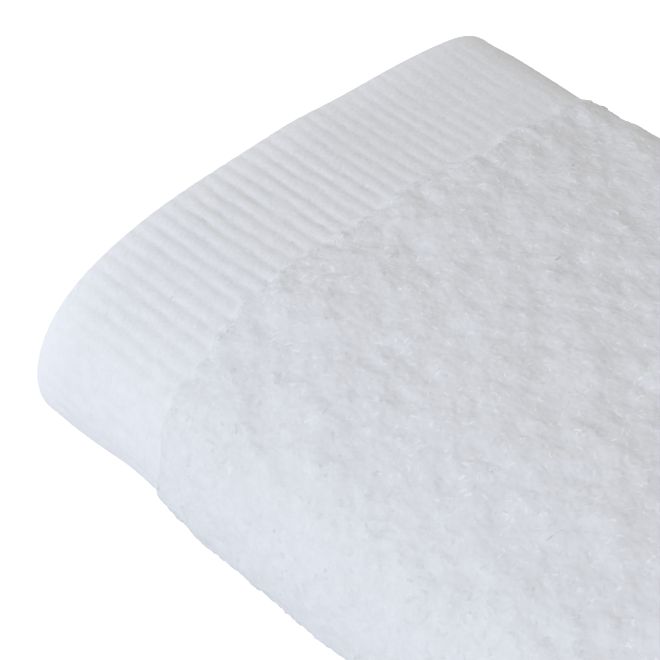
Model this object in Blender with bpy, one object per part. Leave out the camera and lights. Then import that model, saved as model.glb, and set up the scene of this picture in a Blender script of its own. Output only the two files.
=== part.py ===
"""Folded terry hand towel with a ribbed border band, as one closed solid.

The towel is folded crosswise in half and in half again, which gives a bundle of
four layers with the two hems at one end. The bundle is then folded lengthwise
in thirds: the far third is tucked inside, and the near third wraps the whole
height of the near side and ends underneath.

Frame: +X runs along the towel's length, away from the hems; -Y is the big round
near fold; +Z is up. The origin is the middle of the footprint, on the surface
that the towel rests on. Lengths are in metres.
"""
import math
from collections import namedtuple

import bpy
import numpy as np

MM = 0.001

# Cloth
PILE_THICKNESS = 5.3 * MM       # terry with pile on both faces, as it lies in the fold
LAYER_GAP = 0.5 * MM            # air between neighbouring layers
BAND_THICKNESS = 2.9 * MM       # flat-woven border, over its ribs
BAND_WIDTH = 48.7 * MM          # hem end to the first row of pile
PILE_STEP = 2.3 * MM            # pile above the band's ribs
STEP_WIDTH = 2.0 * MM           # how far the first row of pile leans over the band
RIB_PITCH = 5.2 * MM
RIB_HEIGHT = 0.9 * MM

# Crosswise folds: four layers, numbered from the outside of the bundle
LAYERS = 4
LAYER_STEP = PILE_THICKNESS + LAYER_GAP
BUNDLE = LAYERS * PILE_THICKNESS + (LAYERS - 1) * LAYER_GAP
STACK_LENGTH = 251.0 * MM       # first hem to the outer crosswise fold
HEM_INSET = 4.0 * MM            # the second hem lies this far inside the first
TURN_INSET = 5.0 * MM           # and so does the middle fold between the hems' ends
TURN_PUFF = 2.6 * MM            # the middle fold fills the room left by the thin bands
PUFF_LENGTH = 36.0 * MM
TIGHT_PRESS = 0.8               # share of the pile's thickness left in the tightest turn
RUN_SHARES = (0.33, 0.67)       # where the long runs have an extra row of points
BAND_STATIONS = 2               # the path's first stations, whose outer side is ribbed
OUTER_TURN_STEPS = 8
INNER_TURN_STEPS = 6

# Lengthwise folds: a row for each stretch of the bundle, from the tucked long edge to
# the long edge underneath. A length is taken along the outer face, a turn is in
# degrees, and press is the share of the bundle's thickness left at the stretch's end.
Stretch = namedtuple("Stretch", "name length turn press steps")
SECTION = (
    Stretch("tucked edge", 45.0 * MM, -10.0, 1.00, 3),
    Stretch("tucked run", 84.0 * MM, 0.0, 0.95, 3),
    Stretch("far fold, lower", 56.6 * MM, 140.0, 0.94, 11),
    Stretch("far fold, upper", 16.5 * MM, 39.0, 0.95, 3),
    Stretch("top run", 62.0 * MM, 1.0, 1.00, 3),
    Stretch("top slope", 54.0 * MM, 8.5, 1.00, 2),
    Stretch("upper shoulder", 33.5 * MM, 14.5, 1.00, 3),
    Stretch("shoulder", 13.5 * MM, 12.5, 1.00, 1),
    Stretch("near round", 60.5 * MM, 126.5, 1.00, 11),
    Stretch("near foot", 16.0 * MM, 18.0, 1.00, 2),
    Stretch("under run", 133.0 * MM, 0.0, 1.00, 4),
)
TUCKED_SLOPE = 10.0             # degrees by which the tucked long edge dips
TUCKED_PRESS = 0.67
TUCKED_EDGE_STEP = 2.0 * MM     # each layer's tucked edge ends short of the one inside it
UNDER_EDGE_STEP = 6.0 * MM      # and so do the edges underneath

# One rib, as its points' places across it and their shares of its height
RibPoint = namedtuple("RibPoint", "place height")
RIB = (RibPoint(0.0, 0.0), RibPoint(0.28, 1.0), RibPoint(0.72, 1.0))
RULER_MARKS = 4000              # marks along the outer face by which the ribs are spaced

TERRY_COLOUR = (0.80, 0.80, 0.81, 1.0)
TERRY_ROUGHNESS = 1.0

Station = namedtuple("Station", "x offset half heading")
Row = namedtuple("Row", "x offset ribbed")


def remove_scene_objects():
    for item in list(bpy.data.objects):
        bpy.data.objects.remove(item, do_unlink=True)


# ---- crosswise: the cloth's path through the bundle's four layers ----

def layer_offset(number):
    """Offset of a layer's middle from the bundle's middle, outward positive."""
    return (BUNDLE - PILE_THICKNESS) / 2 - (number - 1) * LAYER_STEP


def turn_stations(centre_x, centre_offset, radius, start, sweep, half, steps):
    """Stations inside a half turn, which starts at an angle and sweeps either way."""
    stations = []
    for step in range(1, steps):
        angle = start + sweep * step / steps
        stations.append(Station(centre_x + radius * math.cos(angle),
                                centre_offset + radius * math.sin(angle),
                                half, angle + math.copysign(math.pi / 2, sweep)))
    return stations


def crosswise_stations():
    """The cloth's middle line from the first hem, on the outside, to the second."""
    half = PILE_THICKNESS / 2
    band_half = BAND_THICKNESS / 2
    first, second, third, fourth = (layer_offset(number + 1) for number in range(LAYERS))
    turn_x = STACK_LENGTH - BUNDLE / 2
    pile_x = BAND_WIDTH + STEP_WIDTH

    first_band = BUNDLE / 2 - PILE_STEP - band_half
    stations = [Station(0.0, first_band, band_half, 0.0),
                Station(BAND_WIDTH, first_band, band_half, 0.0),
                Station(pile_x, first, half, 0.0)]
    stations += [Station(pile_x + (turn_x - pile_x) * share, first, half, 0.0)
                 for share in RUN_SHARES + (1.0,)]

    stations += turn_stations(turn_x, 0.0, first, math.pi / 2, -math.pi, half,
                              OUTER_TURN_STEPS)

    puffed = third + TURN_PUFF
    back_radius = (puffed - fourth) / 2
    back_x = TURN_INSET + back_radius + half
    stations += [Station(turn_x, fourth, half, math.pi),
                 Station((turn_x + back_x) / 2, fourth, half, math.pi),
                 Station(back_x, fourth, half, math.pi)]
    stations += turn_stations(back_x, (puffed + fourth) / 2, back_radius,
                              -math.pi / 2, -math.pi, half, INNER_TURN_STEPS)

    stations += [Station(back_x, puffed, half, 0.0),
                 Station(back_x + PUFF_LENGTH, third, half, 0.0),
                 Station(turn_x, third, half, 0.0)]
    stations += turn_stations(turn_x, 0.0, second, -math.pi / 2, math.pi,
                              half * TIGHT_PRESS, INNER_TURN_STEPS)

    second_band = first_band - BAND_THICKNESS - LAYER_GAP
    stations += [Station(turn_x, second, half, math.pi),
                 Station(HEM_INSET + pile_x, second, half, math.pi),
                 Station(HEM_INSET + BAND_WIDTH, second_band, band_half, math.pi),
                 Station(HEM_INSET, second_band, band_half, math.pi)]
    return stations


def face_rows(stations, side):
    """Rows of one face of the cloth: the left of its path (1) or the right (-1)."""
    rows = []
    for number, station in enumerate(stations):
        normal = station.heading + math.pi / 2
        rows.append(Row(station.x + side * station.half * math.cos(normal),
                        station.offset + side * station.half * math.sin(normal),
                        side > 0 and number < BAND_STATIONS))
    return rows


# ---- lengthwise: the bundle's path around its folds ----

class Section:
    """The bundle's middle line in the plane of Y and Z, by its own length."""

    def __init__(self):
        self.starts = [0.0]
        self.points = [(0.0, 0.0)]
        self.headings = [math.radians(TUCKED_SLOPE)]
        self.presses = [TUCKED_PRESS]
        self.columns = [0.0]
        for stretch in SECTION:
            turn = math.radians(stretch.turn)
            length = stretch.length - turn * BUNDLE / 2
            start = self.starts[-1]
            self.starts.append(start + length)
            self.points.append(self.along(len(self.points) - 1, length, turn / length))
            self.headings.append(self.headings[-1] + turn)
            self.presses.append(stretch.press)
            self.columns += [start + length * step / stretch.steps
                             for step in range(1, stretch.steps + 1)]

    def along(self, number, distance, bend):
        """The point at a distance from a stretch's start, along its constant bend."""
        y, z = self.points[number]
        heading = self.headings[number]
        if abs(bend) < 1e-9:
            return y + distance * math.cos(heading), z + distance * math.sin(heading)
        after = heading + bend * distance
        return (y + (math.sin(after) - math.sin(heading)) / bend,
                z - (math.cos(after) - math.cos(heading)) / bend)

    def place(self, where, offset):
        """A point off the middle line, outward positive, past its ends straight on."""
        last = len(SECTION) - 1
        number = int(np.clip(np.searchsorted(self.starts, where, "right") - 1, 0, last))
        length = self.starts[number + 1] - self.starts[number]
        bend = (self.headings[number + 1] - self.headings[number]) / length
        distance = where - self.starts[number]
        if where < 0.0 or where > self.starts[-1]:
            bend = 0.0
        if where > self.starts[-1]:
            number, distance = last + 1, where - self.starts[-1]
        y, z = self.along(number, distance, bend)
        heading = self.headings[number] + bend * distance
        offset *= float(np.interp(where, self.starts, self.presses))
        return y + offset * math.sin(heading), z - offset * math.cos(heading)

    def stepped(self, column, offset):
        """Where a column lies at an offset: the layers' long edges end in steps."""
        layers_out = offset / LAYER_STEP
        tucked_end = self.starts[2]
        under_start, end = self.starts[-2:]
        if column < tucked_end:
            return column + TUCKED_EDGE_STEP * layers_out * (1.0 - column / tucked_end)
        if column > under_start:
            share = (column - under_start) / (end - under_start)
            return column - UNDER_EDGE_STEP * layers_out * share
        return column

    def rib_columns(self):
        """Columns at the ribs' points, even along the outer face, with their heights."""
        fine = np.linspace(0.0, self.starts[-1], RULER_MARKS)
        outer = np.array([self.place(where, BUNDLE / 2) for where in fine])
        run = np.concatenate(([0.0], np.cumsum(np.hypot(*np.diff(outer, axis=0).T))))
        ribs = int(run[-1] / RIB_PITCH)
        pitch = run[-1] / ribs
        marks = [((rib + point.place) * pitch, point.height)
                 for rib in range(ribs) for point in RIB] + [(run[-1], 0.0)]
        return [(float(np.interp(mark, run, fine)), height) for mark, height in marks]


# ---- the cloth's surface ----

def zip_strip(first, second):
    """Triangles between two rows of (column, vertex) that start and end together."""
    faces = []
    a = b = 0
    while a < len(first) - 1 or b < len(second) - 1:
        step_first = b == len(second) - 1
        if a < len(first) - 1 and not step_first:
            step_first = first[a + 1][0] <= second[b + 1][0]
        if step_first:
            faces.append((first[a][1], first[a + 1][1], second[b][1]))
            a += 1
        else:
            faces.append((first[a][1], second[b + 1][1], second[b][1]))
            b += 1
    return faces


def join_rows(first, second):
    """Faces between neighbouring rows: squares where their columns are the same."""
    if len(first) != len(second):
        return zip_strip(first, second)
    return [(first[i][1], first[i + 1][1], second[i + 1][1], second[i][1])
            for i in range(len(first) - 1)]


def towel_mesh():
    section = Section()
    stations = crosswise_stations()
    count = len(stations)
    rows = face_rows(stations, 1) + face_rows(stations, -1)[::-1]
    plain = [(column, 0.0) for column in section.columns]
    ribs = section.rib_columns()

    vertices = []
    lines = []
    for row in rows:
        line = []
        for column, height in (ribs if row.ribbed else plain):
            drop = RIB_HEIGHT * (1.0 - height) if row.ribbed else 0.0
            where = section.stepped(column, row.offset)
            line.append((column, len(vertices)))
            vertices.append((row.x, *section.place(where, row.offset - drop)))
        lines.append(line)

    faces = []
    for number, line in enumerate(lines):
        faces += join_rows(line, lines[(number + 1) % len(lines)])
    for number in range(count - 1):
        quad = (number, number + 1, 2 * count - 2 - number, 2 * count - 1 - number)
        faces.append(tuple(lines[row][0][1] for row in quad))
        faces.append(tuple(lines[row][-1][1] for row in quad[::-1]))

    points = np.array(vertices)
    low, high = points.min(axis=0), points.max(axis=0)
    points -= ((low[0] + high[0]) / 2, (low[1] + high[1]) / 2, low[2])
    mesh = bpy.data.meshes.new("towel_cloth")
    mesh.from_pydata(points.tolist(), [], faces)
    mesh.validate()
    mesh.update()
    return mesh


def terry_material():
    material = bpy.data.materials.new("white_terry")
    material.use_nodes = True
    shader = material.node_tree.nodes["Principled BSDF"]
    shader.inputs["Base Color"].default_value = TERRY_COLOUR
    shader.inputs["Roughness"].default_value = TERRY_ROUGHNESS
    shader.inputs["Metallic"].default_value = 0.0
    material.diffuse_color = TERRY_COLOUR
    return material


def main():
    remove_scene_objects()
    collection = bpy.data.collections.new("hand_towel")
    bpy.context.scene.collection.children.link(collection)
    towel = bpy.data.objects.new("towel_cloth", towel_mesh())
    towel.data.materials.append(terry_material())
    collection.objects.link(towel)


main()
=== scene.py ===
"""Looks of the folded terry hand towel: cloth, ribbed band, looped pile, light and camera.

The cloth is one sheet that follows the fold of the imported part: four crosswise layers,
folded lengthwise in thirds. Lengths are in metres, in the part's own frame: +X away
from the hems, -Y the round near fold, +Z up.

A place on the cloth has two numbers. Along is the distance along the cloth's path
through the four layers, from the hem on the outside. Column is the distance along the
bundle's middle line, from the tucked long edge to the long edge underneath.
"""
import math
from collections import namedtuple

import bpy
import numpy as np
from mathutils import Matrix, Vector


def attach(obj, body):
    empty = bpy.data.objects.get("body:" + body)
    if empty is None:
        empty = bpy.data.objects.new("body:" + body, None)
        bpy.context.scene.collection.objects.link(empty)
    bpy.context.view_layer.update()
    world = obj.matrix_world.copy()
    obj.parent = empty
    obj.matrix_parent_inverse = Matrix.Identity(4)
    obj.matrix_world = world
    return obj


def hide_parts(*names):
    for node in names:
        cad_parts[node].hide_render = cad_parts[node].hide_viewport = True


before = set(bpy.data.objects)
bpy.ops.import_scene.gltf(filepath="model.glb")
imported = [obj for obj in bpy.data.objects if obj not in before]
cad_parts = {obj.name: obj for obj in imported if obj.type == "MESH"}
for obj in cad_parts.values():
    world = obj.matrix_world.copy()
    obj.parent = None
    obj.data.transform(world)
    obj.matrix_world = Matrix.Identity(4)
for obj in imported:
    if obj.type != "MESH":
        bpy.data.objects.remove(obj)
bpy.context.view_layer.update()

MM = 0.001

# ---- sizes of the cloth, as in the part's source; only the ribs are lower here ----
PILE_THICKNESS = 5.3 * MM
LAYER_GAP = 0.5 * MM
BAND_THICKNESS = 2.9 * MM
BAND_WIDTH = 48.7 * MM
PILE_STEP = 2.3 * MM            # the pile stands this far over the band's ribs
STEP_WIDTH = 2.0 * MM
RIB_PITCH = 5.2 * MM
RIB_HEIGHT = 0.50 * MM

LAYERS = 4
LAYER_STEP = PILE_THICKNESS + LAYER_GAP
BUNDLE = LAYERS * PILE_THICKNESS + (LAYERS - 1) * LAYER_GAP
STACK_LENGTH = 251.0 * MM
HEM_INSET = 4.0 * MM            # the second hem lies this far inside the first,
TURN_INSET = 5.0 * MM           # and the middle fold this far
TURN_PUFF = 2.6 * MM            # the middle fold fills the room beside the thin bands
PUFF_LENGTH = 36.0 * MM
TIGHT_PRESS = 0.8               # share of the thickness left in the tightest turn
TIGHT_EASE = 2.0 * MM

# A row for each stretch of the bundle, from the tucked long edge to the one underneath:
# its length on the outer face, its turn in degrees and the press at its end.
Stretch = namedtuple("Stretch", "name length turn press")
SECTION = (
    Stretch("tucked edge", 45.0 * MM, -10.0, 1.00),
    Stretch("tucked run", 84.0 * MM, 0.0, 0.95),
    Stretch("far fold, lower", 56.6 * MM, 140.0, 0.94),
    Stretch("far fold, upper", 16.5 * MM, 39.0, 0.95),
    Stretch("top run", 62.0 * MM, 1.0, 1.00),
    Stretch("top slope", 54.0 * MM, 8.5, 1.00),
    Stretch("upper shoulder", 33.5 * MM, 14.5, 1.00),
    Stretch("shoulder", 13.5 * MM, 12.5, 1.00),
    Stretch("near round", 60.5 * MM, 126.5, 1.00),
    Stretch("near foot", 16.0 * MM, 18.0, 1.00),
    Stretch("under run", 133.0 * MM, 0.0, 1.00),
)
TUCKED_SLOPE = 10.0
TUCKED_PRESS = 0.67
TUCKED_EDGE_STEP = 2.0 * MM
UNDER_EDGE_STEP = 6.0 * MM

# ---- sizes of the finer surface ----
GROUND_DROP = 0.3 * MM          # the pile's loops lie on a ground this far inside
HEM_ROUND = 1.3 * MM            # the hems are rounded over this width,
EDGE_ROUND = 2.6 * MM           # and the long edges over this one,
ROUND_LEFT = 0.12               # down to this share of the thickness
CORNER_ROUND = 5.0 * MM         # the cloth's corners
SOFT_EDGE = 12.0 * MM           # the long edges are uneven over this width,
EDGE_THIN = 0.3                 # and thinner by up to about this share
RIB_ROUND = 0.7                 # below 1 the ribs are wide and their valleys narrow
RIB_AT_HEM = 0.45               # the ribs flatten to this share at the hem,
RIB_HEM_WIDTH = 10.0 * MM
RIB_AT_FAR_FOLD = 0.25          # towards the far fold,
FAR_FADE_END = 65.0 * MM        # from this far past the start of the top slope,
RIB_AT_NEAR_FOLD = 0.70         # and round the near one

# Soft unevenness: how high its bumps are, how wide one is, and the seed of its draws.
Uneven = namedtuple("Uneven", "height cell seed")
RIB_WANDER = Uneven(0.30 * MM, 14.0 * MM, 11)
RIB_RAGGED = Uneven(0.28 * MM, 4.0 * MM, 13)
RIB_STRENGTH = Uneven(0.32, 3.0 * MM, 12)               # as a share, rib by rib
LUMP = Uneven(0.62 * MM, 17.0 * MM, 21)
SMALL_LUMP = Uneven(0.37 * MM, 5.5 * MM, 22)
TUFT_LUMP = Uneven(0.23 * MM, 3.2 * MM, 23)
LONG_EDGE_WAVE = Uneven(1.1 * MM, 19.0 * MM, 24)        # in and out,
LONG_EDGE_THIN = Uneven(0.5, 11.0 * MM, 25)             # and as a share of EDGE_THIN
PILE_EDGE_WANDER = Uneven(0.9 * MM, 16.0 * MM, 31)
PILE_EDGE_RAGGED = Uneven(0.8 * MM, 4.5 * MM, 32)
PILE_EDGE_CLUMPS = Uneven(0.45 * MM, 2.2 * MM, 33)
NOISE_CELLS = 256
NOISE_GAIN = 1.4
FACE_SHIFT = 40.0 * MM          # keeps the noise on the cloth's two faces apart,
LONG_EDGE_SHIFT = 50.0 * MM     # and that on its two long edges

# The first row of pile wanders: how much further from the hem it starts, and over what
# width it reaches its full height, by the place in a stretch of the section.
Edge = namedtuple("Edge", "stretch share shift rise")
PILE_EDGE = (
    Edge("tucked edge", 0.0, 0.0, 8.0 * MM),
    Edge("top run", 0.0, 0.0, 8.0 * MM),
    Edge("top slope", 0.0, 0.0, 5.0 * MM),
    Edge("upper shoulder", 0.3, 0.0, 4.2 * MM),
    Edge("shoulder", 0.0, 2.8 * MM, 3.6 * MM),
    Edge("near round", 0.0, 5.0 * MM, 3.0 * MM),
    Edge("near round", 0.35, 8.8 * MM, 2.8 * MM),
    Edge("near foot", 0.0, 8.8 * MM, 2.8 * MM),
    Edge("under run", 0.5, 2.0 * MM, 2.8 * MM),
    Edge("end", 0.0, 0.0, 2.8 * MM),
)
EDGE_ZONE = (46.0 * MM, 61.0 * MM)      # the cloth's rows are closer between these distances

# Soft troughs in the outward face: a line between two places, with a width and a depth.
Trough = namedtuple("Trough", "along column to_along to_column width depth")
TROUGHS = (
    Trough(58 * MM, 176 * MM, 128 * MM, 209 * MM, 8 * MM, 1.3 * MM),
    Trough(66 * MM, 156 * MM, 190 * MM, 158 * MM, 17 * MM, 2.2 * MM),
)

# Places where the whole bundle stands out a little from the even section, or sinks in.
# From_hem is a distance along the stack's length.
Swell = namedtuple("Swell", "from_hem column hem_size column_size height")
SWELLS = (
    Swell(100 * MM, 350 * MM, 400 * MM, 15 * MM, 2.3 * MM),
    Swell(0 * MM, 332 * MM, 14 * MM, 13 * MM, -1.3 * MM),
    Swell(40 * MM, 350 * MM, 16 * MM, 16 * MM, -1.4 * MM),
    Swell(78 * MM, 350 * MM, 10 * MM, 15 * MM, 1.2 * MM),
    Swell(0 * MM, 186 * MM, 16 * MM, 36 * MM, 2.5 * MM),
    Swell(0 * MM, 238 * MM, 16 * MM, 14 * MM, 0.8 * MM),
    Swell(4 * MM, 158 * MM, 8 * MM, 10 * MM, -1.0 * MM),
    Swell(52 * MM, 162 * MM, 18 * MM, 22 * MM, -1.3 * MM),
    Swell(100 * MM, 162 * MM, 40 * MM, 22 * MM, -0.5 * MM),
)

# ---- spacing of the cloth's mesh ----
PATH_STEP = 0.25 * MM
FINE_COLUMN = 1.45 * MM
HIDDEN_COLUMN = 2.9 * MM
COARSE_COLUMN = 4.0 * MM
STRAIGHT_TURN = 12.0            # stretches that turn by fewer degrees have half the columns
FINE_ROW = 1.8 * MM
BAND_ROW = 2.0 * MM
EDGE_ROW = 0.9 * MM
COARSE_ROW = 6.0 * MM
TURN_ROW = 1.5 * MM
RIB_STEPS = 6
HIDDEN_RIB_STEPS = 3
ROUND_MARKS = (0.0, 0.09, 0.3, 0.6, 1.0)        # close rows and columns at rounded edges
MARK_ROOM = 0.2 * MM

# ---- the pile's yarn ----
# A loop is a low, wide ridge: its section across in half widths, and as a share of its
# height. The two low corners stay in the ground, so no dark gap shows under a loop.
YARN_SECTION = ((0.0, 1.0), (1.0, 0.0), (-1.0, 0.0))

# Places along a loop, and there its height, its bow to one side, its thickness and how
# clearly its tone shows, with the painted highlight of a bright loop and the painted shadow of a
# dark one.
Arch = namedtuple("Arch", "place rise sway taper tone")
ARCH = (
    Arch(0.0, 0.0, 0.0, 0.8, 0.3),
    Arch(0.3, 1.0, 1.0, 1.0, 1.0),
    Arch(0.7, 0.9, 0.8, 1.0, 1.0),
    Arch(1.0, 0.0, 0.0, 0.7, 0.2),
)
ARCH_FOOT = 0.15 * MM                   # both ends lie this deep in the ground

# Kinds of loop. The bright ones carry a painted highlight, a whiter tone that stands in for
# light caught on a loop, and stand higher than the others of their kind, apart from standing
# loops, which are as high either way. Rim loops lie on the steep step where the pile begins,
# wider and deeper in the ground.
Yarn = namedtuple("Yarn", "length half_width depth height bright_height bright_share place")
LOOP = Yarn(2.8 * MM, 0.60 * MM, 0.15 * MM, 0.07 * MM, 0.17 * MM, 0.20, "pile")
STANDING = Yarn(2.8 * MM, 0.85 * MM, 0.15 * MM, 0.30 * MM, 0.30 * MM, 0.20, "pile")
RIM = Yarn(1.8 * MM, 0.75 * MM, 0.40 * MM, 0.08 * MM, 0.20 * MM, 0.65, "rim")
HAIR = Yarn(2.2 * MM, 0.30 * MM, 0.15 * MM, 0.04 * MM, 0.08 * MM, 1.00, "band")
LENGTH_SHARES, WIDTH_SHARES, HEIGHT_SHARES = (0.6, 1.35), (0.75, 1.2), (0.4, 1.3)
BRIGHT_WIDTH = 1.2
BOW_SPREAD, BOW_LIMIT = 0.28, 0.45      # shares of a loop's length
WIDE_BOW_LIMIT = 0.15                   # wide, short loops bow less, so none turns over itself
PILE_FROM = 1.6 * MM                    # the pile's loops, from where it begins,
RIM_ZONE = (0.7 * MM, 3.6 * MM)         # and the rim's
HAIR_ZONE = (1.5 * MM, 47.0 * MM)       # stray hairs on the band, from the hem
END_ROOM = 0.5 * MM                     # roots stay this far from the long edges,
LOOP_END_ROOM = 0.1 * MM                # and whole loops this far
SCATTER_CELL = 4.0 * MM
PILE_SEED = 40
FLOOR_CLEAR = 0.05 * MM

# Tones from 0, the pile's shade, to 1, its white: dull loops differ at random, bright loops
# carry a painted highlight and dark loops a painted shadow. They differ less in strong light,
# so the painted highlights and shadows are fainter on the near side.
PLAIN_TONE = 0.37
PAINTED_HIGHLIGHT_TONES, DULL_TONES, PAINTED_SHADOW_TONES = (0.6, 0.95), (0.30, 0.44), (0.0, 0.1)
PAINTED_SHADOW_SHARE = 0.05
FULL_CONTRAST, TOP_CONTRAST, NEAR_CONTRAST = 1.0, 0.85, 0.33
BRIGHT_SOFT, DULL_SOFT = 0.78, 0.93     # how far a loop is shaded like the ground it lies on

# ---- colours and fine bumps ----
CLOTH_MAP = "cloth_metres"
TONE_AND_LIGHT_LAYER = "loop_tone_and_painted_light"
# The shade end is reached only by loops with a painted shadow, and the white end is neared only
# by loops with a painted highlight.
PILE_SHADE, PILE_WHITE = (0.74, 0.74, 0.74), (1.0, 1.0, 1.0)
GROUND_SHADE, GROUND_WHITE = (0.81, 0.81, 0.81), (0.86, 0.86, 0.86)
BAND_SHADE, BAND_WHITE = (0.845, 0.845, 0.845), (0.89, 0.89, 0.89)
# Painted light: the band whitens towards the hem, standing in for less shadow on the flat ribs
# there and light through the thin edge.
HEM_PAINTED_LIGHT, HEM_LIGHT_WIDTH = (0.93, 0.93, 0.93), 14.0 * MM
GROUND_MOTTLE = {"Scale": 300.0, "Detail": 3.0}
BAND_MOTTLE = {"Scale": 220.0, "Detail": 4.0}
MOTTLE_RANGE = (0.3, 0.7)
SOFT_BUMPS = {"Scale": 330.0, "Detail": 1.0}
PILE_BUMP_HEIGHT, BAND_BUMP_HEIGHT = 0.55 * MM, 0.25 * MM
THREADS = {"Scale": 150.0, "Distortion": 5.0, "Detail": 2.0, "Detail Scale": 2.0}
THREAD_STRENGTH, THREAD_HEIGHT = 0.5, 0.15 * MM
MATT_COTTON = {"Roughness": 1.0, "Specular IOR Level": 0.15,
               "Sheen Weight": 0.12, "Sheen Roughness": 0.5}

# ---- camera, in the photograph's square frame ----
IMAGE_SIDE = 660
SENSOR = 36.0
FOCAL_PIXELS = 2067
CAMERA_AZIMUTH = 46.30
CAMERA_ELEVATION = 40.02
CAMERA_ROLL = 0.70
CAMERA_TARGET = (-45.7 * MM, -54.7 * MM, 70.5 * MM)
CAMERA_DISTANCE = 541.9 * MM
CAMERA_CLIP = 10.0 * MM

# ---- floor and light ----
FLOOR_SIZE = 6.0
FLOOR_WHITE = (0.9, 0.9, 0.9, 1.0)
FLOOR_GLOW = 0.6
NEAR_SKY, NEAR_STRENGTH = (0.855, 0.89, 1.0), 1.08    # the side of the near fold
FAR_SKY, FAR_STRENGTH = (1.0, 0.90, 0.71), 0.38
KEY_ANGLES = (-25.0, 30.0)
KEY_DISTANCE = 1.6
KEY_SIZE = 1.2
KEY_POWER = 4.6
KEY_COLOUR = (0.80, 0.92, 1.0)
LIGHT_BOUNCES = 12


# ---- soft, seeded unevenness ----

def bumps(a, b, uneven):
    """Smooth bumps over a plane, about as high either way as the unevenness says."""
    random = np.random.default_rng(uneven.seed)
    lattice = random.uniform(-1.0, 1.0, (NOISE_CELLS, NOISE_CELLS))
    a, b = np.asarray(a) / uneven.cell, np.asarray(b) / uneven.cell
    a0, b0 = np.floor(a).astype(int), np.floor(b).astype(int)
    fa, fb = a - a0, b - b0
    fa, fb = fa * fa * (3 - 2 * fa), fb * fb * (3 - 2 * fb)

    def corner(da, db):
        return lattice[(a0 + da) % NOISE_CELLS, (b0 + db) % NOISE_CELLS]

    near = corner(0, 0) * (1 - fa) + corner(1, 0) * fa
    far = corner(0, 1) * (1 - fa) + corner(1, 1) * fa
    return uneven.height * ((near * (1 - fb) + far * fb) * NOISE_GAIN)


def smooth_share(value, low, high):
    """0 below low, 1 above high, and a smooth rise between."""
    share = np.clip((np.asarray(value, float) - low) / (high - low), 0.0, 1.0)
    return share * share * (3 - 2 * share)


# ---- lengthwise: the bundle's middle line ----

def lost_in_turn(stretch):
    """How much shorter a stretch is on the bundle's middle line than on its outer face."""
    return math.radians(stretch.turn) * BUNDLE / 2


class Fold:
    """The bundle's middle line, read at any column from a fine table."""

    STEP = 0.1 * MM
    MARGIN = 30.0 * MM
    EASE = 9.0 * MM             # turns ease into each other over this length

    def __init__(self):
        starts, headings, presses = [0.0], [math.radians(TUCKED_SLOPE)], [TUCKED_PRESS]
        for stretch in SECTION:
            starts.append(starts[-1] + stretch.length - lost_in_turn(stretch))
            headings.append(headings[-1] + math.radians(stretch.turn))
            presses.append(stretch.press)
        self.starts = dict(zip([stretch.name for stretch in SECTION] + ["end"], starts))
        self.length = starts[-1]
        self.table = np.arange(-self.MARGIN, self.length + self.MARGIN, self.STEP)
        heading = np.interp(self.table, starts, headings)
        width = int(self.EASE / self.STEP) // 2 * 2 + 1
        padded = np.pad(heading, width // 2, mode="edge")
        self.heading = np.convolve(padded, np.ones(width) / width, "valid")
        self.press = np.interp(self.table, starts, presses)
        self.y = np.cumsum(np.cos(self.heading)) * self.STEP
        self.z = np.cumsum(np.sin(self.heading)) * self.STEP

        inside = (self.table >= 0) & (self.table <= self.length)
        outer_y, outer_z = self.off_middle(self.table, BUNDLE / 2)
        self.y -= (outer_y[inside].min() + outer_y[inside].max()) / 2
        self.z -= outer_z[inside].min()
        outer_y, outer_z = self.off_middle(self.table, BUNDLE / 2)
        run = np.hypot(np.diff(outer_y), np.diff(outer_z))
        self.outer = np.concatenate(([0.0], np.cumsum(run)))
        self.outer -= np.interp(0.0, self.table, self.outer)

    def off_middle(self, column, offset, shift=0.0):
        """Y and Z of points off the middle line, outward positive."""
        heading = np.interp(column, self.table, self.heading)
        offset = offset * np.interp(column, self.table, self.press) + shift
        return (np.interp(column, self.table, self.y) + offset * np.sin(heading),
                np.interp(column, self.table, self.z) - offset * np.cos(heading))

    def stepped(self, column, offset):
        """Columns moved so that the layers' long edges end in steps."""
        layers_out = offset / LAYER_STEP
        tucked = self.starts["far fold, lower"]
        under = self.starts["under run"]
        tuck_share = np.clip(1.0 - column / tucked, 0.0, None)
        under_share = np.clip((column - under) / (self.length - under), 0.0, None)
        return (column + TUCKED_EDGE_STEP * layers_out * tuck_share
                - UNDER_EDGE_STEP * layers_out * under_share)

    def place(self, stretch, share):
        """The column at a share of a stretch."""
        names = list(self.starts)
        after = names[min(names.index(stretch) + 1, len(names) - 1)]
        return self.starts[stretch] * (1 - share) + self.starts[after] * share

    def outer_at(self, column):
        """Length along the outer face, from the tucked edge to a column."""
        return np.interp(column, self.table, self.outer)

    def column_at(self, run):
        """The column at a length along the outer face."""
        return np.interp(run, self.outer, self.table)


# ---- crosswise: the cloth's path through the four layers ----

def layer_offset(number):
    """A layer's middle off the bundle's middle, outward positive."""
    return (BUNDLE - PILE_THICKNESS) / 2 - (number - 1) * LAYER_STEP


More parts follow.
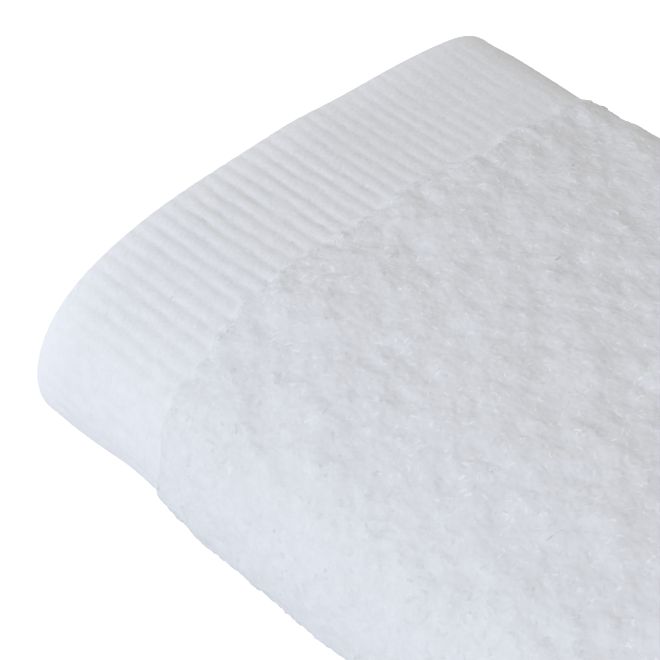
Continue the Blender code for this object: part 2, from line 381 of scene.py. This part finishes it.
class Path:
    """The cloth's middle line in the plane of X and the bundle's thickness."""

    ARC_POINTS = 40

    def __init__(self):
        self.points = []
        self.marks = {}
        half = PILE_THICKNESS / 2
        first, second, third, fourth = (layer_offset(n + 1) for n in range(LAYERS))
        turn_x = STACK_LENGTH - BUNDLE / 2
        pile_x = BAND_WIDTH + STEP_WIDTH
        first_band = BUNDLE / 2 - PILE_STEP - BAND_THICKNESS / 2
        second_band = first_band - BAND_THICKNESS - LAYER_GAP
        puffed = third + TURN_PUFF
        back_radius = (puffed - fourth) / 2
        back_x = TURN_INSET + back_radius + half

        self.line("hem", 0.0, first_band)
        self.line("pile starts", BAND_WIDTH, first_band)
        self.line("pile", pile_x, first)
        self.line("outer turn", turn_x, first)
        self.arc("fourth layer", turn_x, 0.0, first, 90, -90)
        self.line("back turn", back_x, fourth)
        self.arc("third layer", back_x, (puffed + fourth) / 2, back_radius, -90, -270)
        self.line("puff ends", back_x + PUFF_LENGTH, third)
        self.line("tight turn", turn_x, third)
        self.arc("second layer", turn_x, 0.0, second, -90, 90)
        self.line("second pile ends", HEM_INSET + pile_x, second)
        self.line("second band", HEM_INSET + BAND_WIDTH, second_band)
        self.line("second hem", HEM_INSET, second_band)

        points = np.array(self.points)
        run = np.concatenate(([0.0], np.cumsum(np.hypot(*np.diff(points, axis=0).T))))
        self.marks = {name: run[index] for name, index in self.marks.items()}
        self.marks["edge zone"], self.marks["edge zone ends"] = EDGE_ZONE
        self.length = run[-1]
        self.table = np.linspace(0.0, self.length, int(self.length / PATH_STEP))
        self.x = np.interp(self.table, run, points[:, 0])
        self.offset = np.interp(self.table, run, points[:, 1])
        self.heading = np.unwrap(np.arctan2(np.gradient(self.offset), np.gradient(self.x)))
        self.heading[self.table < self.marks["outer turn"]] = 0.0
        self.heading[self.table > self.marks["second layer"]] = -math.pi
        self.half = self.half_thickness()

    def line(self, name, x, offset):
        """Goes straight on to a named place."""
        self.points.append((x, offset))
        self.marks[name] = len(self.points) - 1

    def arc(self, name, x, offset, radius, start, end):
        """Turns round a centre, between two angles, to a named place."""
        for angle in np.radians(np.linspace(start, end, self.ARC_POINTS)):
            self.points.append((x + radius * math.cos(angle),
                                offset + radius * math.sin(angle)))
        self.marks[name] = len(self.points) - 1

    def half_thickness(self):
        marks = self.marks
        pressed = PILE_THICKNESS * TIGHT_PRESS
        table = [(marks["hem"], BAND_THICKNESS),
                 (marks["pile starts"], BAND_THICKNESS),
                 (marks["pile"], PILE_THICKNESS),
                 (marks["tight turn"], PILE_THICKNESS),
                 (marks["tight turn"] + TIGHT_EASE, pressed),
                 (marks["second layer"] - TIGHT_EASE, pressed),
                 (marks["second layer"], PILE_THICKNESS),
                 (marks["second pile ends"], PILE_THICKNESS),
                 (marks["second band"], BAND_THICKNESS),
                 (marks["second hem"], BAND_THICKNESS)]
        places, thickness = zip(*table)
        return np.interp(self.table, places, thickness) / 2

    def at(self, along):
        """X, offset, half thickness and heading at distances along the cloth."""
        return tuple(np.interp(along, self.table, values)
                     for values in (self.x, self.offset, self.half, self.heading))


# ---- the cloth's surface ----

class Towel:
    """The cloth's two faces: any point by its along and its column."""

    NORMAL_REACH = 0.5 * MM     # a normal is read over about a loop's width

    def __init__(self):
        self.fold = Fold()
        self.path = Path()
        starts = self.fold.starts
        around = self.fold.outer_at(self.fold.length)
        self.pitch = around / int(around / RIB_PITCH)
        self.near_fade = (self.fold.outer_at(starts["upper shoulder"]),
                          self.fold.outer_at(starts["near round"]))
        self.far_fade = (self.fold.outer_at(starts["far fold, upper"]),
                         self.fold.outer_at(starts["top slope"]) + FAR_FADE_END)
        self.edge_places = [self.fold.place(edge.stretch, edge.share) for edge in PILE_EDGE]
        self.edge_shifts = [edge.shift for edge in PILE_EDGE]
        self.edge_rises = [edge.rise for edge in PILE_EDGE]

    def pile_edge(self, column):
        """How far from the hem the pile begins."""
        run = self.fold.outer_at(column)
        return (BAND_WIDTH + np.interp(column, self.edge_places, self.edge_shifts)
                + bumps(run, 0 * run, PILE_EDGE_WANDER)
                + bumps(run, 0 * run, PILE_EDGE_RAGGED)
                + bumps(run, 0 * run, PILE_EDGE_CLUMPS))

    def pile_rise(self, column):
        """Over what width the pile reaches its full height."""
        return np.interp(column, self.edge_places, self.edge_rises)

    def rib_height(self, along, run):
        """The ribs' share of their height: round ridges between narrow valleys."""
        wander = bumps(along, run, RIB_WANDER) + bumps(along, run, RIB_RAGGED)
        place = (run + wander) / self.pitch
        number = np.floor(place)
        strength = 1.0 + bumps(along / 2, number * RIB_STRENGTH.cell, RIB_STRENGTH)
        from_hem = smooth_share(along, 0.0, RIB_HEM_WIDTH)
        strength *= RIB_AT_HEM + (1 - RIB_AT_HEM) * from_hem
        strength *= 1 - (1 - RIB_AT_NEAR_FOLD) * smooth_share(run, *self.near_fade)
        from_far_fold = smooth_share(run, *self.far_fade)
        strength *= RIB_AT_FAR_FOLD + (1 - RIB_AT_FAR_FOLD) * from_far_fold
        ridge = np.clip(np.sin(np.pi * (place - number)), 0.0, 1.0) ** RIB_ROUND
        return 1.0 - strength * (1.0 - ridge)

    def relief(self, along, column):
        """Height of the outward face over the plain section: ribs, pile ground and lumps."""
        run = self.fold.outer_at(column)
        edge, rise = self.pile_edge(column), self.pile_rise(column)
        piled = smooth_share(along, edge - rise / 2, edge + rise / 2)
        plain = np.clip((along - self.path.marks["pile starts"]) / STEP_WIDTH, 0.0, 1.0)
        ribbed = -RIB_HEIGHT * (1.0 - self.rib_height(along, run))
        lumps = (bumps(along, run, LUMP) + bumps(along, run, SMALL_LUMP)
                 + bumps(along, run, TUFT_LUMP))
        for trough in TROUGHS:
            lumps = lumps - trough.depth * self.near_line(along, column, trough)
        return (ribbed * (1 - piled) + (lumps - GROUND_DROP) * piled
                + PILE_STEP * (piled - plain))

    @staticmethod
    def near_line(along, column, trough):
        """1 on a trough's line, with a soft fall to 0 on both sides and past its ends."""
        onward = np.array([trough.to_along - trough.along, trough.to_column - trough.column])
        length = np.hypot(*onward)
        onward = onward / length
        a, b = along - trough.along, column - trough.column
        past = a * onward[0] + b * onward[1]
        past = past - np.clip(past, 0.0, length)
        aside = b * onward[0] - a * onward[1]
        return np.exp(-(past ** 2 + aside ** 2) / trough.width ** 2)

    @staticmethod
    def swell(from_hem, column):
        """How far the bundle stands out."""
        return sum(swell.height
                   * np.exp(-((from_hem - swell.from_hem) / swell.hem_size) ** 2
                            - ((column - swell.column) / swell.column_size) ** 2)
                   for swell in SWELLS)

    def point(self, along, column, side=1, lift=0.0):
        """Points of one face, lifted off it; side 1 is the face that turns outward."""
        x, offset, half, heading = self.path.at(along)
        edge = np.minimum(column, self.fold.length - column)
        hem = np.minimum(along, self.path.length - along)
        beside = np.clip(1.0 - edge / SOFT_EDGE, 0.0, 1.0)
        uneven = LONG_EDGE_THIN.height + bumps(along, column + side * FACE_SHIFT, LONG_EDGE_THIN)
        thin = (self.rounded(edge, EDGE_ROUND) * self.rounded(hem, HEM_ROUND)
                * (1.0 - EDGE_THIN * uneven * beside))
        out = side * (half + lift) * thin
        x = x - out * np.sin(heading)
        offset = offset + out * np.cos(heading)
        inward = np.sign(self.fold.length / 2 - column)
        wave = bumps(along, inward * LONG_EDGE_SHIFT, LONG_EDGE_WAVE)
        column = column + inward * beside * (self.corner(hem) + wave)
        y, z = self.fold.off_middle(self.fold.stepped(column, offset), offset,
                                    self.swell(x, column))
        return np.stack((x - STACK_LENGTH / 2 + 0 * y, y, np.maximum(z, FLOOR_CLEAR)), axis=-1)

    @staticmethod
    def rounded(distance, width):
        """Share of the thickness left at a distance from a hem or long edge."""
        inside = np.clip(distance / width, 0.0, 1.0)
        return ROUND_LEFT + (1.0 - ROUND_LEFT) * np.sqrt(1.0 - (1.0 - inside) ** 2)

    @staticmethod
    def corner(hem):
        """How far the long edge turns in near a hem, round the cloth's corner."""
        inside = np.clip(hem / CORNER_ROUND, 0.0, 1.0)
        return CORNER_ROUND * (1.0 - np.sqrt(1.0 - (1.0 - inside) ** 2))

    def outward_point(self, along, column, height=0.0):
        """A point over the uneven outward face, as the pile and the ribs see it."""
        return self.point(along, column, 1, self.relief(along, column) + height)

    def outward_normal(self, along, column):
        """Unit vectors square to the uneven outward face."""
        reach = self.NORMAL_REACH
        onward = (self.outward_point(along + reach, column)
                  - self.outward_point(along - reach, column))
        across = (self.outward_point(along, column + reach)
                  - self.outward_point(along, column - reach))
        normal = np.cross(across, onward)
        return normal / np.linalg.norm(normal, axis=-1, keepdims=True)


# ---- the cloth's mesh ----

Row = namedtuple("Row", "along side columns")


def spaced(start, end, step):
    """Evenly spaced values from start to end, both included."""
    return np.linspace(start, end, max(int(round((end - start) / step)), 1) + 1)


def with_edge_marks(values, length):
    """Adds the close columns that round both long edges."""
    near = np.array(ROUND_MARKS) * EDGE_ROUND
    room = near[-1] + MARK_ROOM
    inner = values[(values > room) & (values < length - room)]
    return np.concatenate((near, inner, length - near[::-1]))


def with_hem_rows(rows, length):
    """Adds the close rows that round both hems."""
    near = np.array(ROUND_MARKS) * HEM_ROUND
    room = near[-1] + MARK_ROOM
    inner = [row for row in rows if room < row.along < length - room]
    return ([rows[0]._replace(along=along) for along in near] + inner
            + [rows[-1]._replace(along=length - along) for along in near[::-1]])


def column_sets(towel):
    """Columns for the ribs, for the pile that shows and for what lies hidden."""
    fold = towel.fold
    seen = [round(fold.outer_at(fold.starts[name]) / towel.pitch) * towel.pitch
            for name in ("far fold, lower", "under run")]

    def columns(step, hidden_step):
        run = np.concatenate((spaced(0.0, seen[0], hidden_step)[:-1],
                              spaced(*seen, step)[:-1],
                              spaced(seen[1], fold.outer_at(fold.length), hidden_step)))
        return with_edge_marks(fold.column_at(run), fold.length)

    coarse = []
    for stretch, start in zip(SECTION, fold.starts.values()):
        middle_length = stretch.length - lost_in_turn(stretch)
        step = COARSE_COLUMN if abs(stretch.turn) > STRAIGHT_TURN else 2 * COARSE_COLUMN
        coarse.append(spaced(start, start + middle_length, step)[:-1])
    return {"ribs": columns(towel.pitch / RIB_STEPS, towel.pitch / HIDDEN_RIB_STEPS),
            "fine": columns(FINE_COLUMN, HIDDEN_COLUMN),
            "coarse": with_edge_marks(np.concatenate(coarse), fold.length)}


def cloth_rows(path):
    """Rows of both faces, in order around the cloth from the first hem's outer side."""
    def rows(table, side):
        return [Row(along, side, columns)
                for start, end, step, columns in table
                for along in spaced(path.marks[start], path.marks[end], step)[:-1]]

    outward = rows((("hem", "edge zone", BAND_ROW, "ribs"),
                    ("edge zone", "edge zone ends", EDGE_ROW, "ribs"),
                    ("edge zone ends", "outer turn", FINE_ROW, "fine"),
                    ("outer turn", "fourth layer", TURN_ROW, "fine"),
                    ("fourth layer", "back turn", COARSE_ROW, "coarse"),
                    ("back turn", "third layer", TURN_ROW, "fine"),
                    ("third layer", "tight turn", COARSE_ROW, "coarse"),
                    ("tight turn", "second layer", TURN_ROW, "coarse"),
                    ("second layer", "second pile ends", COARSE_ROW, "coarse"),
                    ("second pile ends", "second hem", COARSE_ROW, "coarse")), 1)
    inward = rows((("hem", "outer turn", COARSE_ROW, "coarse"),
                   ("outer turn", "fourth layer", TURN_ROW, "coarse"),
                   ("fourth layer", "back turn", COARSE_ROW, "coarse"),
                   ("back turn", "third layer", TURN_ROW, "coarse"),
                   ("third layer", "tight turn", COARSE_ROW, "coarse"),
                   ("tight turn", "second layer", TURN_ROW, "coarse"),
                   ("second layer", "second hem", COARSE_ROW, "coarse")), -1)
    return with_hem_rows(outward, path.length), with_hem_rows(inward, path.length)[::-1]


def zip_strip(first, second):
    """Triangles between two rows of (place, vertex) that start and end together."""
    faces = []
    a = b = 0
    while a < len(first) - 1 or b < len(second) - 1:
        step_first = b == len(second) - 1
        if a < len(first) - 1 and not step_first:
            step_first = first[a + 1][0] <= second[b + 1][0]
        if step_first:
            faces.append((first[a][1], first[a + 1][1], second[b][1]))
            a += 1
        else:
            faces.append((first[a][1], second[b + 1][1], second[b][1]))
            b += 1
    return faces


def join_rows(first, second, same_columns):
    """Faces between two neighbouring rows."""
    if not same_columns:
        return zip_strip(first, second)
    return [(first[i][1], first[i + 1][1], second[i + 1][1], second[i][1])
            for i in range(len(first) - 1)]


def long_edge_faces(outward, inward, lines):
    """Faces that close the cloth along its two long edges."""
    faces = []
    for end, flip in ((0, 1), (-1, -1)):
        first = [(row.along, line[end][1]) for row, line in zip(outward, lines)]
        second = [(row.along, line[end][1])
                  for row, line in zip(inward[::-1], lines[:len(outward) - 1:-1])]
        faces += [face[::flip] for face in zip_strip(first, second)]
    return faces


def build_cloth(towel):
    """The cloth's two faces, hems and long edges as one closed mesh."""
    columns = column_sets(towel)
    outward, inward = cloth_rows(towel.path)
    rows = outward + inward
    marks = towel.path.marks

    points, places, lines = [], [], []
    count = 0
    for row in rows:
        column = columns[row.columns]
        along = np.full(len(column), row.along)
        if row.side > 0 and row.along < marks["third layer"]:
            points.append(towel.outward_point(along, column))
        else:
            points.append(towel.point(along, column, row.side))
        places.append(np.stack((along, column), axis=-1))
        lines.append(list(zip(column.tolist(), range(count, count + len(column)))))
        count += len(column)

    faces = []
    for number, line in enumerate(lines):
        after = (number + 1) % len(lines)
        faces += join_rows(line, lines[after], rows[number].columns == rows[after].columns)
    faces += long_edge_faces(outward, inward, lines)
    places = np.concatenate(places)
    along, column = places[[face[0] for face in faces]].T
    flat = (along < towel.pile_edge(column)) | (along > marks["second pile ends"])

    mesh = bpy.data.meshes.new("hand_towel")
    mesh.from_pydata(np.concatenate(points).tolist(), [], faces)
    mesh.polygons.foreach_set("material_index", flat.astype(np.int32))
    mesh.polygons.foreach_set("use_smooth", [True] * len(faces))
    places[:, 1] = towel.fold.outer_at(places[:, 1])
    add_cloth_map(mesh, places)
    mesh.update()
    return placed("hand_towel", mesh)


def add_cloth_map(mesh, places):
    """A UV map in metres: along the cloth, and along the bundle's outer face."""
    corners = np.empty(len(mesh.loops), dtype=np.int32)
    mesh.loops.foreach_get("vertex_index", corners)
    layer = mesh.uv_layers.new(name=CLOTH_MAP)
    layer.data.foreach_set("uv", places[corners].astype(np.float32).ravel())


def placed(name, data):
    """A new object in the scene."""
    thing = bpy.data.objects.new(name, data)
    bpy.context.scene.collection.objects.link(thing)
    return thing


# ---- the pile's loops ----

Tuft = namedtuple("Tuft", "name along columns density contrast yarn")

# The ridges of one piece: rows of points along their middles with the height over each,
# and for each ridge its half width, its tone with any painted highlight or painted shadow,
# the direction it stands in, the direction that it is shaded for and how far.
Ridges = namedtuple("Ridges", "centres rises half_widths tones outward facing soft")


def pile_table(towel):
    """Where the pile stands: a row a piece, with its loops for each square millimetre."""
    marks, starts = towel.path.marks, towel.fold.starts
    middle = (marks["pile"] + marks["outer turn"]) / 2
    top = (starts["far fold, upper"], starts["shoulder"])
    near = (starts["shoulder"], starts["under run"])
    far = (starts["far fold, lower"], starts["far fold, upper"])
    under = (starts["under run"], towel.fold.length)
    whole = (END_ROOM, towel.fold.length - END_ROOM)
    pile = (EDGE_ZONE[0], marks["outer turn"])
    outer_turn = (marks["outer turn"], marks["fourth layer"])
    back_turn = (marks["back turn"], marks["third layer"])
    return (
        Tuft("pile_top_hem_half", (pile[0], middle), top, 0.42, TOP_CONTRAST, LOOP),
        Tuft("pile_top_fold_half", (middle, pile[1]), top, 0.42, TOP_CONTRAST, LOOP),
        Tuft("pile_near", pile, near, 0.42, NEAR_CONTRAST, LOOP),
        Tuft("pile_near_standing", pile, near, 0.07, NEAR_CONTRAST, STANDING),
        Tuft("pile_far", pile, far, 0.33, TOP_CONTRAST, LOOP),
        Tuft("pile_under", pile, under, 0.10, NEAR_CONTRAST, LOOP),
        Tuft("pile_crosswise_fold", outer_turn, whole, 0.26, FULL_CONTRAST, LOOP),
        Tuft("pile_middle_fold", back_turn, whole, 0.26, FULL_CONTRAST, LOOP),
        Tuft("pile_edge_top", RIM_ZONE, (far[0], near[0]), 1.2, TOP_CONTRAST, RIM),
        Tuft("pile_edge_near", RIM_ZONE, near, 1.0, NEAR_CONTRAST, RIM),
        Tuft("band_hairs", HAIR_ZONE, (far[0], near[1]), 0.12, FULL_CONTRAST, HAIR),
    )


def scattered(towel, tuft, random):
    """Seeded roots, even over the real area between the given marks."""
    along = spaced(*tuft.along, SCATTER_CELL)
    column = spaced(*tuft.columns, SCATTER_CELL)
    grid = towel.point(*np.meshgrid(along, column, indexing="ij"))
    across = grid[1:, :-1] - grid[:-1, :-1]
    onward = grid[:-1, 1:] - grid[:-1, :-1]
    area = np.linalg.norm(np.cross(across, onward), axis=-1) / MM ** 2
    count = int(area.sum() * tuft.density)
    picked = random.choice(area.size, count, p=(area / area.sum()).ravel())
    i, j = np.unravel_index(picked, area.shape)
    roots_along = along[i] + random.random(count) * (along[1] - along[0])
    roots_column = column[j] + random.random(count) * (column[1] - column[0])
    edge = towel.pile_edge(roots_column)
    if tuft.yarn.place == "rim":
        return roots_along + edge, roots_column
    kept = (roots_along > edge + PILE_FROM) | (tuft.yarn.place == "band")
    return roots_along[kept], roots_column[kept]


def build_tufts(towel, tuft, seed):
    """Low arches of yarn, each a ridge with its two feet in the ground."""
    random = np.random.default_rng(seed)
    along, column = scattered(towel, tuft, random)
    count = len(along)
    yarn = tuft.yarn

    bright = random.random(count) < yarn.bright_share
    angle = random.uniform(0.0, 2 * np.pi, count)
    length = yarn.length * random.uniform(*LENGTH_SHARES, count)
    bow = random.normal(0.0, BOW_SPREAD, count) * length
    half_width = (yarn.half_width * random.uniform(*WIDTH_SHARES, count)
                  * np.where(bright, BRIGHT_WIDTH, 1.0))
    widest_bow = np.minimum(BOW_LIMIT, WIDE_BOW_LIMIT * length / half_width) * length
    bow = np.clip(bow, -widest_bow, widest_bow)
    # A share of the loops get a painted shadow: a darker tone that stands in for the shade under
    # raised loops.
    tone = np.where(random.random(count) < PAINTED_SHADOW_SHARE, random.uniform(*PAINTED_SHADOW_TONES, count),
                    random.uniform(*DULL_TONES, count))
    # Bright loops get a painted highlight: a whiter tone than the rest.
    tone = np.where(bright, random.uniform(*PAINTED_HIGHLIGHT_TONES, count), tone)
    height = (np.where(bright, yarn.bright_height, yarn.height)
              * random.uniform(*HEIGHT_SHARES, count))

    along_scale, column_scale = stretched(towel, along, column)
    centres, rises = [], []
    for arch in ARCH:
        onward, aside = (arch.place - 0.5) * length, arch.sway * bow
        there_along = along + (onward * np.cos(angle) - aside * np.sin(angle)) / along_scale
        there_column = column + (onward * np.sin(angle) + aside * np.cos(angle)) / column_scale
        there_column = np.clip(there_column, LOOP_END_ROOM, towel.fold.length - LOOP_END_ROOM)
        foot = 0.0 if arch.rise > 0 else -ARCH_FOOT
        centres.append(towel.outward_point(there_along, there_column, foot))
        rises.append(arch.rise * height)

    outward = towel.outward_normal(along, column)
    if yarn.place != "band":
        along = np.maximum(along, towel.pile_edge(column) + towel.pile_rise(column) / 2)
    return ridge_piece(tuft.name, yarn.depth, Ridges(
        centres=np.stack(centres, axis=1), rises=np.stack(rises, axis=1),
        half_widths=half_width, tones=(tone - PLAIN_TONE) * tuft.contrast,
        outward=outward, facing=towel.outward_normal(along, column),
        soft=np.where(bright, BRIGHT_SOFT, DULL_SOFT)))


def stretched(towel, along, column):
    """Real lengths for a step along and for a step across, at each root."""
    reach = 0.05 * MM
    origin = towel.point(along, column)
    return [np.linalg.norm(towel.point(*moved) - origin, axis=-1) / reach
            for moved in ((along + reach, column), (along, column + reach))]


def unit(vectors):
    return vectors / (np.linalg.norm(vectors, axis=-1, keepdims=True) + 1e-12)


def ridge_piece(name, depth, ridges):
    """One mesh of three-sided ridges, whose low corners lie at a depth in the ground.

    Soft is how far a ridge is shaded like even ground in the facing direction. A ridge's
    tone, its random tone with the painted highlight of a bright loop and the painted shadow of
    a dark one, is added to the plain tone along its top, and fades towards its corners and
    ends.
    """
    count, rings = ridges.centres.shape[:2]
    tangent = unit(np.gradient(ridges.centres, axis=1))
    side = unit(np.cross(tangent, ridges.outward[:, None]))
    lift = np.cross(side, tangent)
    taper = np.array([arch.taper for arch in ARCH])[None, :, None]
    reach = ridges.half_widths[:, None, None] * taper
    soft = ridges.soft[:, None, None]
    fading = ridges.tones[:, None] * np.array([arch.tone for arch in ARCH])
    vertices, normals, shades = [], [], []
    for across, risen in YARN_SECTION:
        shades.append(PLAIN_TONE + risen * fading)
        vertices.append(ridges.centres + reach * across * side
                        + (risen * ridges.rises[:, :, None] - (1 - risen) * depth) * lift)
        normals.append((across * side + risen * lift) * (1 - soft)
                       + ridges.facing[:, None] * soft)
    vertices = np.stack(vertices, axis=2).reshape(-1, 3)
    vertices[:, 2] = np.maximum(vertices[:, 2], FLOOR_CLEAR)
    normals = unit(np.stack(normals, axis=2).reshape(-1, 3))
    corners, sizes = ridge_faces(count, rings)

    mesh = bpy.data.meshes.new(name)
    mesh.vertices.add(len(vertices))
    mesh.vertices.foreach_set("co", vertices.astype(np.float32).ravel())
    mesh.loops.add(corners.size)
    mesh.loops.foreach_set("vertex_index", corners.astype(np.int32).ravel())
    mesh.polygons.add(len(sizes))
    starts = np.concatenate(([0], np.cumsum(sizes)[:-1]))
    mesh.polygons.foreach_set("loop_start", starts.astype(np.int32))
    mesh.polygons.foreach_set("use_smooth", [True] * len(sizes))
    mesh.update(calc_edges=True)
    layer = mesh.attributes.new(TONE_AND_LIGHT_LAYER, "FLOAT", "POINT")
    layer.data.foreach_set("value", np.stack(shades, axis=2).astype(np.float32).ravel())
    mesh.normals_split_custom_set_from_vertices(normals.tolist())
    return placed(name, mesh)


def ridge_faces(count, rings):
    """The corners of all faces of a piece, and each face's number of corners."""
    sides = len(YARN_SECTION)
    ring = np.arange(rings - 1)[:, None] * sides
    corner = np.arange(sides)[None, :]
    after = (corner + 1) % sides
    quads = np.stack((ring + corner, ring + after, ring + sides + after,
                      ring + sides + corner), axis=-1).reshape(-1, 4)
    ends = np.array([[2, 1, 0], [0, 1, 2]]) + np.array([[0], [(rings - 1) * sides]])
    first = np.arange(count)[:, None, None] * rings * sides
    corners = np.concatenate(((first + quads[None]).reshape(count, -1),
                              (first + ends[None]).reshape(count, -1)), axis=1)
    return corners, np.tile([4] * len(quads) + [3] * len(ends), count)


# ---- materials ----

class Nodes:
    """Adds the nodes that lead to a material's shader or to the sky."""

    def __init__(self, owner, end="Principled BSDF"):
        owner.use_nodes = True
        self.tree = owner.node_tree
        self.end = self.tree.nodes[end]

    def feed(self, node, inputs):
        """Gives a node's sockets their values, or links them to other nodes' outputs."""
        for key, value in inputs.items():
            if isinstance(value, bpy.types.NodeSocket):
                self.tree.links.new(value, node.inputs[key])
            else:
                node.inputs[key].default_value = value

    def add(self, kind, inputs=None, **settings):
        node = self.tree.nodes.new(kind)
        for key, value in settings.items():
            setattr(node, key, value)
        self.feed(node, inputs or {})
        return node

    def mixed(self, factor, first, second):
        """Colour between two colours by a factor's output."""
        first, second = (colour if isinstance(colour, bpy.types.NodeSocket) else (*colour, 1.0)
                         for colour in (first, second))
        return self.add("ShaderNodeMix", {0: factor, 6: first, 7: second},
                        data_type="RGBA").outputs[2]

    def ranged(self, value, low, high):
        """0 at low, 1 at high."""
        inputs = {"Value": value, "From Min": low, "From Max": high}
        return self.add("ShaderNodeMapRange", inputs).outputs[0]

    def mottled(self, place, pattern, shade, white):
        """Colour that wanders softly between two colours."""
        noise = self.add("ShaderNodeTexNoise", {"Vector": place, **pattern})
        return self.mixed(self.ranged(noise.outputs["Fac"], *MOTTLE_RANGE), shade, white)

    def bumped(self, height, distance, **inputs):
        """The normal over a height's bumps."""
        inputs = {"Height": height, "Distance": distance, **inputs}
        return self.add("ShaderNodeBump", inputs).outputs[0]


def cotton(nodes, colour, place, bump_height):
    """Matt cotton with soft, uneven bumps, whose normal it gives back."""
    noise = nodes.add("ShaderNodeTexNoise", {"Vector": place, **SOFT_BUMPS})
    normal = nodes.bumped(noise.outputs["Fac"], bump_height)
    nodes.feed(nodes.end, {"Base Color": colour, "Normal": normal, **MATT_COTTON})
    return normal


def pile_material():
    """Loose cotton loops: small random tone changes from loop to loop, with painted highlights
    on bright loops and painted shadows on dark ones.
    """
    material = bpy.data.materials.new("terry_pile")
    nodes = Nodes(material)
    place = nodes.add("ShaderNodeTexCoord").outputs["Object"]
    tone = nodes.add("ShaderNodeAttribute", attribute_name=TONE_AND_LIGHT_LAYER).outputs["Fac"]
    cotton(nodes, nodes.mixed(tone, PILE_SHADE, PILE_WHITE), place, PILE_BUMP_HEIGHT)
    return material


def ground_material():
    """The ground between the loops: packed yarn."""
    material = bpy.data.materials.new("terry_ground")
    nodes = Nodes(material)
    place = nodes.add("ShaderNodeTexCoord").outputs["Object"]
    colour = nodes.mottled(place, GROUND_MOTTLE, GROUND_SHADE, GROUND_WHITE)
    cotton(nodes, colour, place, PILE_BUMP_HEIGHT)
    return material


def band_material():
    """Flat-woven ribs: fine cross threads and a soft uneven tone, with painted light that
    whitens it towards the hem.
    """
    material = bpy.data.materials.new("ribbed_band")
    nodes = Nodes(material)
    place = nodes.add("ShaderNodeUVMap", uv_map=CLOTH_MAP).outputs["UV"]
    woven = nodes.mottled(place, BAND_MOTTLE, BAND_SHADE, BAND_WHITE)
    along = nodes.add("ShaderNodeSeparateXYZ", {0: place}).outputs["X"]
    # Painted light: the band's colour whitens towards the hem.
    colour = nodes.mixed(nodes.ranged(along, HEM_LIGHT_WIDTH, 0.0), woven, HEM_PAINTED_LIGHT)
    normal = cotton(nodes, colour, place, BAND_BUMP_HEIGHT)
    threads = nodes.add("ShaderNodeTexWave", {"Vector": place, **THREADS}, bands_direction="X")
    normal = nodes.bumped(threads.outputs["Fac"], THREAD_HEIGHT,
                          Strength=THREAD_STRENGTH, Normal=normal)
    nodes.feed(nodes.end, {"Normal": normal})
    return material


def floor_material():
    """Pale floor, which looks brighter than the light it gives back."""
    material = bpy.data.materials.new("pale_floor")
    nodes = Nodes(material)
    seen = nodes.add("ShaderNodeLightPath").outputs["Is Camera Ray"]
    glow = nodes.add("ShaderNodeMath", {0: seen, 1: FLOOR_GLOW}, operation="MULTIPLY")
    nodes.feed(nodes.end, {"Base Color": FLOOR_WHITE, "Roughness": 1.0,
                           "Specular IOR Level": 0.0, "Emission Color": (1.0, 1.0, 1.0, 1.0),
                           "Emission Strength": glow.outputs[0]})
    return material


# ---- surroundings ----

def add_floor():
    bpy.ops.mesh.primitive_plane_add(size=FLOOR_SIZE, location=(0.0, 0.0, 0.0))
    floor = bpy.context.object
    floor.name = "floor"
    floor.data.materials.append(floor_material())


def add_world():
    """A soft sky, brighter and bluer on the side of the near fold."""
    world = bpy.data.worlds.new("studio")
    nodes = Nodes(world, "Background")
    place = nodes.add("ShaderNodeTexCoord").outputs["Generated"]
    towards_far = nodes.add("ShaderNodeSeparateXYZ", {0: place}).outputs["Y"]
    near, far = ([strength * part for part in colour]
                 for colour, strength in ((NEAR_SKY, NEAR_STRENGTH), (FAR_SKY, FAR_STRENGTH)))
    sky = nodes.mixed(nodes.ranged(towards_far, -1.0, 1.0), near, far)
    nodes.feed(nodes.end, {"Color": sky})
    bpy.context.scene.world = world


def direction(azimuth, elevation):
    """Unit vector towards a viewer at an angle; azimuth 0 stands at -Y, 90 at +X."""
    azimuth, elevation = math.radians(azimuth), math.radians(elevation)
    return Vector((math.sin(azimuth) * math.cos(elevation),
                   -math.cos(azimuth) * math.cos(elevation), math.sin(elevation)))


def add_key_light():
    """A square soft light at an angle, aimed at the towel."""
    light = bpy.data.lights.new("soft_key", "AREA")
    light.shape = "SQUARE"
    light.size = KEY_SIZE
    light.energy = KEY_POWER
    light.color = KEY_COLOUR
    lamp = placed("soft_key", light)
    back = direction(*KEY_ANGLES)
    lamp.location = back * KEY_DISTANCE
    lamp.rotation_euler = back.to_track_quat("Z", "Y").to_euler()


def add_camera():
    back = direction(CAMERA_AZIMUTH, CAMERA_ELEVATION)
    camera = bpy.data.cameras.new("camera")
    camera.sensor_width = SENSOR
    camera.lens = FOCAL_PIXELS / IMAGE_SIDE * SENSOR
    camera.clip_start = CAMERA_CLIP
    view = placed("camera", camera)
    upright = back.to_track_quat("Z", "Y").to_matrix().to_4x4()
    roll = Matrix.Rotation(math.radians(CAMERA_ROLL), 4, "Z")
    place = Matrix.Translation(Vector(CAMERA_TARGET) + back * CAMERA_DISTANCE)
    view.matrix_world = place @ upright @ roll
    bpy.context.scene.camera = view


def main():
    towel = Towel()
    cloth = build_cloth(towel)
    for material in (ground_material(), band_material()):
        cloth.data.materials.append(material)
    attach(cloth, "root")
    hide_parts("towel_cloth")

    loops = pile_material()
    for number, tuft in enumerate(pile_table(towel)):
        piece = build_tufts(towel, tuft, PILE_SEED + number)
        piece.data.materials.append(loops)
        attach(piece, "root")

    add_floor()
    add_world()
    add_key_light()
    add_camera()
    scene = bpy.context.scene
    scene.view_settings.view_transform = "Standard"
    scene.cycles.max_bounces = LIGHT_BOUNCES
    scene.cycles.diffuse_bounces = LIGHT_BOUNCES


main()
